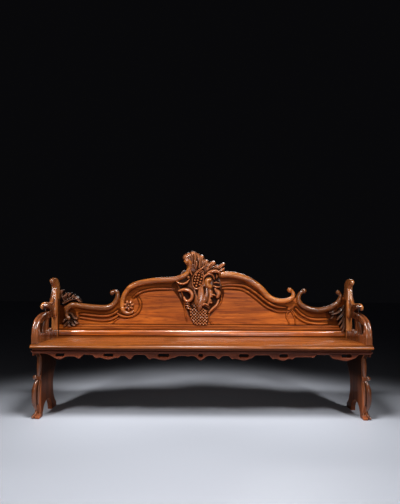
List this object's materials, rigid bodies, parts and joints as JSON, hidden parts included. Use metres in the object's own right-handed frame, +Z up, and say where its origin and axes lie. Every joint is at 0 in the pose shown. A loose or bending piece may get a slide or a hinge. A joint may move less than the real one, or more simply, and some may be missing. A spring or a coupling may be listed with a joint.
{
  "type": "hall bench",
  "caption": "Long carved wooden hall bench: scroll-topped panelled back with a carved middle ornament, pierced scroll arms, scalloped apron and arched plank supports.",
  "frame": {"origin": "on the floor, under the middle of the bench", "axes": "+X along the seat to the sitter's left, so to the right in a view from the front; +Y to the back; +Z up"},
  "size_m": [2.054, 0.48, 1.0505],
  "materials": {
    "seat_wood": "waxed and worn",
    "back_wood": "waxed and worn",
    "carved_wood": "waxed and worn",
    "apron_wood": "waxed and worn",
    "support_wood": "waxed and worn",
    "arm_wood": "waxed and worn",
    "hidden_wood": "unpolished"
  },
  "bodies": {
    "root": {"apron_bead": "apron_wood", "back_board": "back_wood", "back_foot_rail": "seat_wood", "back_step_moulding": "seat_wood", "cartouche_cabochon": "carved_wood", "cartouche_shell": "carved_wood", "cartouche_shield": "carved_wood", "front_apron": "apron_wood", "glue_blocks": "hidden_wood", "left_arm_post": "arm_wood", "left_arm_rail": "arm_wood", "left_arm_scroll": "arm_wood", "left_arm_strut": "arm_wood", "left_corner_leaf": "carved_wood", "left_end_apron": "apron_wood", "left_inner_roll": "carved_wood", "left_leg_scroll": "support_wood", "left_lower_bead": "carved_wood", "left_outer_bead": "carved_wood", "left_outer_roll": "carved_wood", "left_panel_bead": "carved_wood", "left_spray": "carved_wood", "left_support": "support_wood", "rear_rail": "hidden_wood", "right_arm_post": "arm_wood", "right_arm_rail": "arm_wood", "right_arm_scroll": "arm_wood", "right_arm_strut": "arm_wood", "right_corner_leaf": "carved_wood", "right_end_apron": "apron_wood", "right_inner_roll": "carved_wood", "right_leg_scroll": "support_wood", "right_lower_bead": "carved_wood", "right_outer_bead": "carved_wood", "right_outer_roll": "carved_wood", "right_panel_bead": "carved_wood", "right_support": "support_wood", "rosette": "carved_wood", "rosette_bead": "carved_wood", "seat_board": "seat_wood"}
  },
  "joints": []
}
